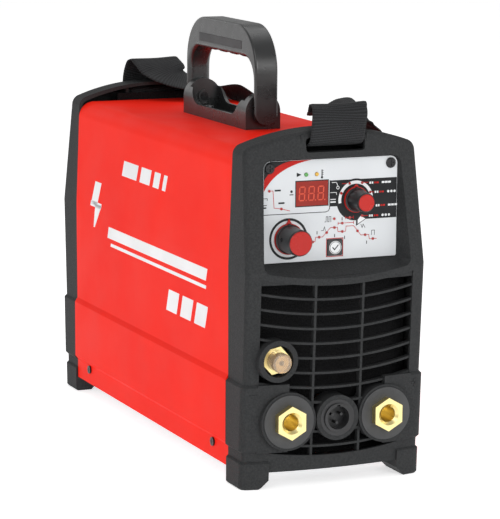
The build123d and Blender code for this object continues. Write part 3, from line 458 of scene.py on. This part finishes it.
def badge_edges():
    """Upper and lower edge of the red band across the top left corner of the fascia."""
    upper = curve_between([(print_left, 252.8), (-48.7, 263.3), (-34.0, print_top)])
    lower = curve_between([(print_left, 243.8), (-43.7, 259.6), (-17.8, print_top)])
    return upper, lower


def dark_outlines():
    """Dark ink: corner, mode field, rings and frames, plain icons and the cycle's marks."""
    window_low, window_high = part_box("display_window")
    w0, w1 = window_low.x / MM - 0.4, window_low.z / MM - 0.4
    w2, w3 = window_high.x / MM + 0.4, window_high.z / MM + 0.4
    round_off = 6
    hub = (print_left + round_off, print_top - round_off)
    corner = [(hub[0] - round_off * math.sin(a), hub[1] + round_off * math.cos(a))
              for a in (0, 0.4, 0.8, 1.2, math.pi / 2)]
    rim = badge_edges()[0][::-1] + corner[::-1]
    dark = [[hub, rim[i - 1], rim[i]] for i in range(len(rim))]
    dark += [[(-1.3, 228.8), (8.0, 228.8), (20.0, 224.0), (25.6, 216.9), (print_right, 216.9),
              (print_right, 250.2), (-1.3, 250.2)]]
    dark += ring_outlines(current_axis.x, current_axis.z, 15.0, 17.0)
    dark += line_outlines([(print_left, 224.8), (-4.6, 224.6)], 0.6)
    dark += line_outlines([(-4.6, 224.6), (-2.2, 225.4), (-1.0, 227.4), (-1.0, 250.2)], 0.6)
    dark += line_outlines([(w0, w1), (w2, w1), (w2, w3), (w0, w3), (w0, w1)], 0.8)
    dark += [[(-30.6, 258.0), (-30.6, 254.4), (-26.4, 256.2)]]
    dark += [box_outline(-8.6, 253.6, -7.7, 259.6), disc_outline(-8.15, 253.2, 1.0, 20)]
    dark += [box_outline(-7.6, z, -6.8, z + 0.5) for z in (255.4, 257.0, 258.6)]
    dark += [disc_outline(-35.1, 242.8, 1.1, 20), box_outline(-36.8, 239.8, -33.4, 240.6)]
    dark += [box_outline(-50.0, 243.6, -44.6, 245.0), box_outline(-46.6, 233.2, -41.2, 234.6)]
    dark += line_outlines([(-62.0, 238.2), (-56.4, 238.2), (-56.4, 236.6)], 0.5)
    dark += [box_outline(-62.2, 232.4, -56.8, 233.0), box_outline(-62.2, 230.0, -57.2, 231.2)]
    dark += line_outlines([(-5.2, 216.4), (-4.0, 216.4), (-4.0, 220.6), (-2.6, 220.6),
                           (-2.6, 216.4), (-1.4, 216.4), (-1.4, 220.6), (0.2, 220.6),
                           (0.2, 216.4)], 0.45)
    dark += line_outlines([(-8.2, 209.4), (-6.4, 209.4), (-5.4, 212.4), (-4.6, 209.4)], 0.45)
    dark += line_outlines([(27.4, 212.8), (28.6, 209.8), (29.4, 212.8), (31.2, 209.8)], 0.45)
    dark += line_outlines([(37.2, 203.4), (37.2, 207.2), (39.8, 207.2), (39.8, 203.4)], 0.45)
    dark += [box_outline(u, v, u + 0.7, v + 2.6)
             for u, v in ((-12.4, 206.6), (3.4, 203.4), (12.4, 201.4), (32.4, 196.2),
                          (10.0, 216.8), (13.6, 221.6))]
    dark += [[(23.0, 217.4), (23.0, 211.6), (31.8, 216.9)]]
    return dark


def red_outlines():
    """Red ink: corner band, lead of the diagram, the cycle itself and the button's frame."""
    upper, lower = badge_edges()
    red = [upper + lower[::-1]]
    red += line_outlines([(-54.8, 244.2), (-51.4, 244.2), (-50.4, 230.2), (-44.0, 229.2),
                          (-36.6, 227.2)], 0.5)
    red += line_outlines([(-20.0, 196.8), (-18.4, 196.8), (-18.0, 200.6), (-13.8, 200.6),
                          (-13.2, 204.2), (-7.0, 204.2), (0.0, 211.4), (6.2, 211.4),
                          (6.8, 207.7), (13.6, 207.7), (14.0, 211.9), (20.8, 211.9),
                          (27.6, 203.8), (34.6, 203.8), (35.2, 200.2), (41.6, 200.2)], 0.5)
    red += line_outlines([(6.8, 214.6), (20.8, 214.6)], 0.5)
    red += line_outlines([(13.4, 218.9), (20.6, 218.9)], 0.5)
    red += [box_outline(u - 0.25, v - 1.2, u + 0.25, v + 1.2)
            for u, v in ((6.8, 214.6), (20.8, 214.6), (13.4, 218.9), (20.6, 218.9))]
    button_low, button_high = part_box("set_button")
    b0, b1 = button_low.x / MM - 0.9, button_low.z / MM - 0.9
    b2, b3 = button_high.x / MM + 0.9, button_high.z / MM + 0.9
    red += line_outlines([(b0, b1), (b2, b1), (b2, b3), (b0, b3), (b0, b1)], 0.6)
    return red


def white_outlines():
    """White ink on the dark field: scale of the mode knob, rows of dashes and dots, icons."""
    white = [arc_outline(mode_axis.x, mode_axis.z, 13.0, 15.6, 5, 190)]
    white += [[(24.4, 216.6), (24.4, 213.2), (31.4, 217.2), (27.0, 219.6)]]
    for u, v, kind in MODE_ROWS:
        white += [box_outline(u, v - 0.9, u + 1.5, v + 0.9)]
        white += [box_outline(u + 2.1, v - 0.9, u + 3.4, v + 0.9)]
        for i in range(3):
            middle = u + 12.4 + 2.9 * i
            if kind == "dots":
                white += [disc_outline(middle, v, 1.05, 20)]
            else:
                white += [box_outline(middle - 1.25, v - 0.8, middle + 1.25, v + 0.8)]
    white += line_outlines([(1.0, 248.4), (4.8, 248.4), (6.2, 245.4)], 0.5)
    white += ring_outlines(6.2, 244.0, 0.9, 1.4)
    white += line_outlines([(-0.2, 240.2), (5.0, 240.2), (5.0, 238.4)], 0.5)
    white += [box_outline(-0.4, 234.2, 4.4, 234.9), box_outline(-0.4, 231.8, 4.4, 233.0)]
    return white


def lead_outlines():
    """Red leads from the mode knob to its rows, and the red dashes in each row."""
    leads = [box_outline(u0, v - 0.25, u1, v + 0.25)
             for u0, u1, v in ((9.8, 14.2, 247.0), (28.6, 33.6, 247.1), (35.8, 38.6, 238.9),
                               (37.6, 39.8, 228.4), (29.2, 33.6, 219.6))]
    for u, v, _ in MODE_ROWS:
        leads += [box_outline(u + 4.4, v - 0.7, u + 5.6, v + 0.7)]
        leads += [box_outline(u + 6.2, v - 0.7, u + 8.4, v + 0.7)]
    return leads


def print_panel():
    """Inks on the fascia, each a little higher than the one before so that none coincide."""
    ring = ring_outlines(mode_axis.x, mode_axis.z, 10.4, 17.3)
    for name, outlines, ink, high in (
        ("panel_print_dark", dark_outlines(), "ink_dark", 0.05),
        ("panel_print_ring", ring, "ink_dark", 0.06),
        ("panel_print_red", red_outlines(), "ink_red", 0.07),
        ("panel_print_white", white_outlines(), "ink_white", 0.08),
        ("panel_print_leads", lead_outlines(), "ink_red", 0.09),
    ):
        print_piece(name, outlines, on_panel, "machine", ink, high=high)


def make_digits():
    """Three dull seven-segment digits with their points, on the face of the red window."""
    low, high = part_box("display_window")
    front = low.y / MM
    centre_x, centre_z = (low.x + high.x) / 2 / MM, (low.z + high.z) / 2 / MM
    width, height, thick, gap = 4.7, 11.0, 1.05, 0.22
    pitch, slant = 8.3, 0.06
    h, reach = thick / 2, width / 2 - gap

    def on_window(u, v, out):
        return Vector((u + slant * (v - centre_z), front - out, v)) * MM

    bars = []
    for step in (-1, 0, 1):
        u = centre_x + pitch * step - 0.5
        for level in (-1, 0, 1):
            v = centre_z + level * height / 2
            bars.append([(u - reach, v), (u - reach + h, v - h), (u + reach - h, v - h),
                         (u + reach, v), (u + reach - h, v + h), (u - reach + h, v + h)])
        for side in (-1, 1):
            for half in (-1, 1):
                s = u + side * width / 2
                v0, v1 = centre_z + gap * half, centre_z + half * (height / 2 - gap)
                bars.append([(s, v0), (s + h, v0 + h * half), (s + h, v1 - h * half), (s, v1),
                             (s - h, v1 - h * half), (s - h, v0 + h * half)])
        bars.append(disc_outline(u + width / 2 + 1.6, centre_z - height / 2, 0.6, 20))
    print_piece("display_digits", bars, on_window, "machine", "segment_red",
                -0.04, 0.04)


def make_pointer(name, axis, body, radius, tip):
    """Red pointer ring with a triangle, clipped round the foot of a knob."""
    u, v = axis.x, axis.z
    shapes = ring_outlines(u, v, radius - 0.35, radius + 0.45)
    shapes += [[(u - 2.5, v + radius + 0.1), (u + 2.5, v + radius + 0.1), (u, v + tip)]]
    print_piece(name, shapes, on_panel, body, "cap_red", 0.45, 1.5)


def make_set_mark():
    """White disc with a plain check mark on the push button."""
    low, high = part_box("set_button")
    u, v = (low.x + high.x) / 2 / MM, (low.z + high.z) / 2 / MM

    def on_button(a, b, out):
        return Vector((a, low.y / MM - out, b)) * MM

    print_piece("button_disc", [disc_outline(u, v, 5.4)], on_button, "button_set",
                "ink_white", -0.1, 0.06)
    mark = ring_outlines(u, v, 4.5, 4.9)
    mark += line_outlines([(u - 2.3, v + 0.1), (u - 0.7, v - 1.7), (u + 2.5, v + 1.9)], 0.85)
    print_piece("button_mark", mark, on_button, "button_set", "ink_dark", 0.0, 0.09)


def make_set_screw():
    """Grub screw in the flank of the large knob."""
    low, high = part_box("current_knob")
    middle_y = (low.y + high.y) / 2 / MM + 2.5
    edge = current_axis.x - 11.3

    def on_flank(u, v, out):
        return Vector((edge - out, u, v)) * MM

    outlines = ring_outlines(middle_y, current_axis.z + 1.5, 0.7, 1.7)
    print_piece("knob_set_screw", outlines, on_flank, "knob_current", "screw_black",
                -0.8, 0.25)


# ---------------------------------------------------------------- graphics on cover and shells
def cover_projector(side):
    """Map (along the machine, height) to the cover's side, raised by a small amount."""
    skin = surface_of("steel_cover")

    def project(along, height, lift):
        start = Vector((side * 0.2, along * MM, height * MM))
        hit = skin.ray_cast(start, Vector((-side, 0, 0)))[0]
        return hit + Vector((side * lift * MM, 0, 0))

    return project


def slanted(y0, y1, z0, z1, slope=0.35):
    """Four corners of a bar whose ends lean forward."""
    lean = slope * (z1 - z0)
    return [(y0, z0), (y1, z0), (y1 - lean, z1), (y0 - lean, z1)]


def side_graphic(side, name):
    """Plain speed stripes with a bolt, in white film."""
    project = cover_projector(side)
    shape = bmesh.new()
    reach = 100 if side < 0 else 46  # the right side's rating plate leaves less room
    bars = [
        (reach, -136, 160.5, 171.0), (reach - 8, -136, 153.5, 156.5),
        (66, 30, 222.0, 236.0), (22, -2, 222.0, 236.0), (-10, -24, 222.0, 236.0),
        (-32, -40, 222.0, 236.0),
        (-46, -70, 120.0, 139.0), (-78, -102, 120.0, 139.0), (-110, -134, 120.0, 139.0),
    ]
    for y0, y1, z0, z1 in bars:
        patch(shape, slanted(y0, y1, z0, z1), max(2, int(abs(y1 - y0) / 8)), 4, project, 0.1)
    for corners in (
        [(134, 208), (118, 208), (128, 186), (144, 186)],
        [(144, 189), (116, 189), (118, 184), (146, 184)],
        [(132, 187), (116, 187), (134, 165), (137, 165)],
    ):
        patch(shape, corners, 4, 6, project, 0.1)
    add_piece(name, shape, "machine", "film_white")


def plate_print():
    """Neutral rulings on the rating plate, with no wording."""
    low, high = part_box("rating_plate")
    y0, z0, y1, z1 = low.y / MM, low.z / MM, high.y / MM, high.z / MM
    face = high.x / MM - 0.15
    middle = (z0 + z1) / 2
    lean = 0.0056  # the cover's side leans in by this much for each unit of height
    margin, rows = 2, 7

    def on_plate(u, v, out):
        return Vector((face - lean * (v - middle) + out, u, v)) * MM

    def level_of(row):
        return z0 + margin + row * (z1 - z0 - 2 * margin) / rows

    left, right, bottom, top = y0 + margin, y1 - margin, z0 + margin, z1 - margin
    lines = line_outlines([(left, bottom), (right, bottom), (right, top), (left, top),
                           (left, bottom)], 0.5)
    for row in range(1, rows):
        lines += line_outlines([(left, level_of(row)), (right, level_of(row))], 0.3)
    for column in (0.28, 0.62):
        across = y0 + column * (y1 - y0)
        lines += line_outlines([(across, bottom), (across, top)], 0.3)
    draw = random.Random(5)
    for row in range(rows):
        level = level_of(row + 0.5)
        for column in (0.05, 0.32, 0.66):
            start = y0 + column * (y1 - y0)
            lines += [box_outline(start, level - 0.7, start + draw.uniform(6, 18), level + 0.7)]
    print_piece("plate_print", lines, on_plate, "machine", "ink_dark", -0.1, 0.2)


def socket_marks():
    """Raised minus and plus marks above the panel sockets."""
    skin = surface_of("front_shell")

    def project(x, z, lift):
        hit = skin.ray_cast(Vector((x * MM, -0.4, z * MM)), Vector((0, 1, 0)))[0]
        return hit + Vector((0, -lift * MM, 0))

    shape = bmesh.new()
    for bar, across, along in (
        (box_outline(-76.0, 78.6, -69.4, 80.2), 6, 2),
        (box_outline(69.4, 78.6, 76.0, 80.2), 6, 2),
        (box_outline(71.9, 76.1, 73.5, 82.7), 2, 6),
    ):
        patch(shape, bar, across, along, project, 0.45)
    add_piece("polarity_marks", shape, "machine", "shell_grey")


def rocker_marks():
    """White bar and circle on the two halves of the power rocker."""
    skin = surface_of("switch_rocker")
    low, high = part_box("switch_rocker")
    middle_x, middle_z = (low.x + high.x) / 2 / MM, (low.z + high.z) / 2 / MM

    def project(x, z, lift):
        hit = skin.ray_cast(Vector((x * MM, 0.4, z * MM)), Vector((0, -1, 0)))[0]
        return hit + Vector((0, lift * MM, 0))

    shape = bmesh.new()
    offset, inner, outer, film = 4.4, 1.5, 2.3, 0.06
    x, z = middle_x, middle_z + offset
    patch(shape, box_outline(x - 0.5, z - 2.0, x + 0.5, z + 2.0), 1, 4, project, film)
    z = middle_z - offset
    for i in range(12):
        t0, t1 = math.radians(30 * i), math.radians(30 * i + 30)
        corners = [(x + r * math.cos(t), z + r * math.sin(t))
                   for r, t in ((inner, t0), (outer, t0), (outer, t1), (inner, t1))]
        patch(shape, corners, 1, 1, project, film)
    add_piece("rocker_marks", shape, "rocker", "ink_white")


# ---------------------------------------------------------------- carrying strap
# stations in millimetres: (place, direction across the strap's width)
STRAP_STEPS = 9  # rings between two stations
STRAP_LOOP = [
    ((1.5, -203.8, 285.4), (1, 0, 0)), ((1.5, -199.5, 286.6), (1, 0, 0)),
    ((1.5, -195.0, 286.7), (1, 0, 0)), ((1.5, -192.2, 284.6), (1, 0, 0)),
    ((1.5, -192.0, 281.0), (1, 0, 0)), ((1.5, -195.0, 278.6), (1, 0, 0)),
    ((1.5, -200.0, 278.6), (1, 0, 0)), ((1.5, -206.0, 279.4), (1, 0, 0)),
    ((1.5, -211.4, 281.0), (1, 0, 0)), ((2.0, -215.0, 286.0), (1, 0, 0)),
    ((3.0, -215.4, 297.0), (1, 0, 0)), ((5.0, -212.6, 307.2), (1, 0, 0.02)),
    ((6.0, -207.0, 311.6), (1, 0, 0.02)),
]
STRAP_FRONT = [
    ((8.0, -200.0, 309.2), (1, 0, 0)), ((13.0, -190.0, 301.5), (1, -0.3, -0.1)),
    ((30.0, -172.0, 297.5), (0.9, -0.6, -0.2)), ((53.0, -152.0, 295.0), (0.75, -0.4, -0.6)),
    ((73.5, -126.0, 283.5), (0.5, -0.2, -1)), ((82.8, -92.0, 258.0), (0.1, -0.5, -1)),
    ((83.8, -50.0, 236.0), (0, -0.3, -1)),
]
STRAP_REAR = [
    ((7.5, 199.5, 309.0), (1, 0, 0)), ((9.5, 190.0, 303.5), (1, 0, 0)),
    ((15.0, 180.5, 297.0), (1, 0.4, 0)), ((31.0, 170.0, 290.5), (0.75, 0.65, 0.05)),
    ((53.0, 159.0, 286.5), (0.65, 0.7, -0.2)), ((73.5, 144.0, 277.5), (0.5, 0.5, -0.7)),
    ((83.0, 116.0, 256.0), (0.1, 0.6, -1)), ((84.0, 62.0, 234.5), (0, 0.3, -1)),
]


def strap_line():
    """Evenly blended stations of the strap: place and direction across its width."""
    keeper = ((84.0, 0.0, 228.0), (0, 0, -1))
    behind = [((p[0], -p[1], p[2]), (a[0], -a[1], a[2])) for p, a in STRAP_LOOP] + STRAP_REAR
    stations = STRAP_LOOP + STRAP_FRONT + [keeper] + behind[::-1]
    route = [(Vector(p), Vector(a).normalized()) for p, a in stations]
    line = []
    last = len(route) - 1
    for i in range(last):
        p0, p1, p2, p3 = [route[min(max(k, 0), last)][0] for k in (i - 1, i, i + 1, i + 2)]
        a1, a2 = route[i][1], route[i + 1][1]
        for k in range(STRAP_STEPS):
            t = k / STRAP_STEPS
            place = 0.5 * (
                2 * p1 + (p2 - p0) * t + (2 * p0 - 5 * p1 + 4 * p2 - p3) * t * t
                + (3 * p1 - p0 - 3 * p2 + p3) * t ** 3
            )
            line.append((place, a1.lerp(a2, t)))
    line.append(route[-1])
    return line


def strap_frames():
    """Place, across and outward directions of the strap at each station."""
    line = strap_line()
    frames = []
    for i, (place, across) in enumerate(line):
        run = (line[min(i + 1, len(line) - 1)][0] - line[max(i - 1, 0)][0]).normalized()
        across = (across - run * across.dot(run)).normalized()
        frames.append((place, across, run.cross(across)))
    return frames


def make_strap():
    """Black webbing from the front slot over the right side to the rear slot."""
    frames = strap_frames()
    half_width, half_thick, columns = 24.0, 0.9, 24
    shape = bmesh.new()
    marks, rings = [], []
    travelled = 0.0
    for i, (place, across, outward) in enumerate(frames):
        if i:
            travelled += (place - frames[i - 1][0]).length
        ring = []
        loose = 0.45 * math.sin(travelled / 21.0) + 0.3 * math.sin(travelled / 8.3 + 1.0)
        for side in (1, -1):
            for j in range(columns + 1):
                share = j / columns * 2 - 1
                share = share if side > 0 else -share
                cord = 0.16 * math.exp(-((abs(share) - 0.93) / 0.04) ** 2)
                selvedge = 0.62 * abs(share) ** 10
                thick = half_thick + cord - selvedge
                curl = 0.25 * loose * math.sin(share * 2.4)
                spot = place + across * (share * half_width) + outward * (side * thick + curl)
                ring.append(shape.verts.new(spot * MM))
                marks.append((travelled * MM, share * half_width * MM, side * MM))
        rings.append(ring)
    count = len(rings[0])
    for a, b in zip(rings, rings[1:]):
        for j in range(count):
            k = (j + 1) % count
            shape.faces.new((a[j], a[k], b[k], b[j]))
    shape.faces.new(rings[0][::-1])
    shape.faces.new(rings[-1])
    strap = add_piece("webbing_strap", shape, "machine", "webbing", smooth=True)
    weave = strap.data.attributes.new("weave", "FLOAT_VECTOR", "POINT")
    weave.data.foreach_set("vector", [c for mark in marks for c in mark])
    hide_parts("carry_strap")


def thread(shape, start, end, radius=0.28):
    """One raised stitch: a short round bar with tapered ends."""
    run = end - start
    side = run.orthogonal().normalized()
    other = run.cross(side).normalized()
    rings = []
    for share, grow in ((0.0, 0.4), (0.15, 0.9), (0.5, 1.1), (0.85, 0.9), (1.0, 0.4)):
        middle = start + run * share
        ring = []
        for i in range(8):
            turn = math.pi * i / 4
            spot = middle + (side * math.cos(turn) + other * math.sin(turn)) * radius * grow
            ring.append(shape.verts.new(spot * MM))
        rings.append(ring)
    for a, b in zip(rings, rings[1:]):
        for i in range(8):
            j = (i + 1) % 8
            shape.faces.new((a[i], a[j], b[j], b[i]))
    shape.faces.new(rings[0][::-1])
    shape.faces.new(rings[-1])


def make_stitches():
    """Seams across the strap on both sides of its keeper, two outside for each one inside."""
    frames = strap_frames()
    shape = bmesh.new()
    keeper = STRAP_STEPS * (len(STRAP_LOOP) + len(STRAP_FRONT))
    first, pitch, length, lift = -20.5, 3.8, 2.6, 0.95
    for offset, face in ((-13, 1), (-11, 1), (11, 1), (13, 1), (-12, -1), (12, -1)):
        place, across, outward = frames[keeper + offset]
        for i in range(11):
            start = place + across * (first + pitch * i) + outward * (face * lift)
            thread(shape, start, start + across * length)
    add_piece("strap_stitches", shape, "machine", "ink_grey", smooth=True)


# ---------------------------------------------------------------- near-black sheets behind the openings, painted shade
def make_grille_shade_sheet():
    """Thin near-black sheet behind the front grille, cut out round the sockets: painted shade that stands in for
    the dark inside.
    """
    shape = bmesh.new()
    pitch, front, back, bottom = 2.0, -200.0, -198.6, 22.0
    half_columns, rows = 36, 76
    sockets = ((-43.5, 57.0, 19.0), (43.5, 57.0, 19.0), (0.0, 57.0, 16.0), (-53.6, 107.8, 9.5))
    cells = set()
    for i in range(-half_columns, half_columns):
        for j in range(rows):
            u, v = (i + 0.5) * pitch, bottom + (j + 0.5) * pitch
            if all(math.hypot(u - x, v - z) > r for x, z, r in sockets):
                cells.add((i, j))
    corners = {}

    def corner(i, j, y):
        if (i, j, y) not in corners:
            corners[i, j, y] = shape.verts.new(Vector((i * pitch, y, bottom + j * pitch)) * MM)
        return corners[i, j, y]

    for i, j in sorted(cells):
        loop = ((i, j), (i + 1, j), (i + 1, j + 1), (i, j + 1))
        shape.faces.new([corner(a, b, front) for a, b in loop])
        shape.faces.new([corner(a, b, back) for a, b in loop[::-1]])
        beside = ((i, j - 1), (i + 1, j), (i, j + 1), (i - 1, j))
        for k, other in enumerate(beside):
            if other not in cells:
                (a, b), (c, d) = loop[k], loop[(k + 1) % 4]
                shape.faces.new((corner(c, d, front), corner(a, b, front),
                                 corner(a, b, back), corner(c, d, back)))
    add_piece("grille_shade_sheet", shape, "machine", "painted_shade_black")


def make_slot_shade_strips():
    """Near-black strips with a ragged top in the gap between cover and end shells: painted shade that keeps the
    slots dark.
    """
    left, right, bottom, top = -38.0, 40.0, 268.0, 282.6
    outside, thickness = 187.0, 1.6
    crown = [(right - 2.0 * i, top + 0.35 * math.sin(i * 1.9)) for i in range(40)]
    for name, side in (("front_slot_shade_strip", -1), ("rear_slot_shade_strip", 1)):
        shape = bmesh.new()

        def place(u, v, out):
            return Vector((u, side * (outside - out), v)) * MM

        prism(shape, [(left, bottom), (right, bottom)] + crown, place, 0.0, thickness)
        add_piece(name, shape, "machine", "painted_shade_black")


# ---------------------------------------------------------------- floor and assembly
def make_floor():
    """Wide flat pale floor, slightly lit from itself so that it stays white."""
    shape = bmesh.new()
    reach, steps = 30.0, 12
    rows = []
    for i in range(steps + 1):
        row = []
        for j in range(steps + 1):
            x, y = (2 * i / steps - 1) * reach, (2 * j / steps - 1) * reach
            row.append(shape.verts.new((x, y, 0)))
        rows.append(row)
    for i in range(steps):
        for j in range(steps):
            shape.faces.new((rows[i][j], rows[i + 1][j], rows[i + 1][j + 1], rows[i][j + 1]))
    mesh = bpy.data.meshes.new("floor")
    shape.to_mesh(mesh)
    shape.free()
    pale = surface("floor_pale", (0.90, 0.90, 0.90), (0.88, 0.88, 0.88), 0.75,
                   mottle=1.5, grain=40, bump=0.02)
    shade = pale.node_tree.nodes["Principled BSDF"]
    shade.inputs["Emission Color"].default_value = (1.0, 1.0, 1.0, 1.0)
    shade.inputs["Emission Strength"].default_value = 0.62
    mesh.materials.append(pale)
    floor = bpy.data.objects.new("floor", mesh)
    bpy.context.scene.collection.objects.link(floor)


make_camera()
make_studio()
make_floor()
dress_frame()
print_panel()
make_digits()
make_pointer("current_pointer", current_axis, "knob_current", 12.3, 16.4)
make_pointer("mode_pointer", mode_axis, "knob_mode", 10.3, 12.9)
make_set_mark()
make_set_screw()
side_graphic(-1, "side_graphic_left")
side_graphic(1, "side_graphic_right")
plate_print()
socket_marks()
rocker_marks()
make_strap()
make_stitches()
make_grille_shade_sheet()
make_slot_shade_strips()
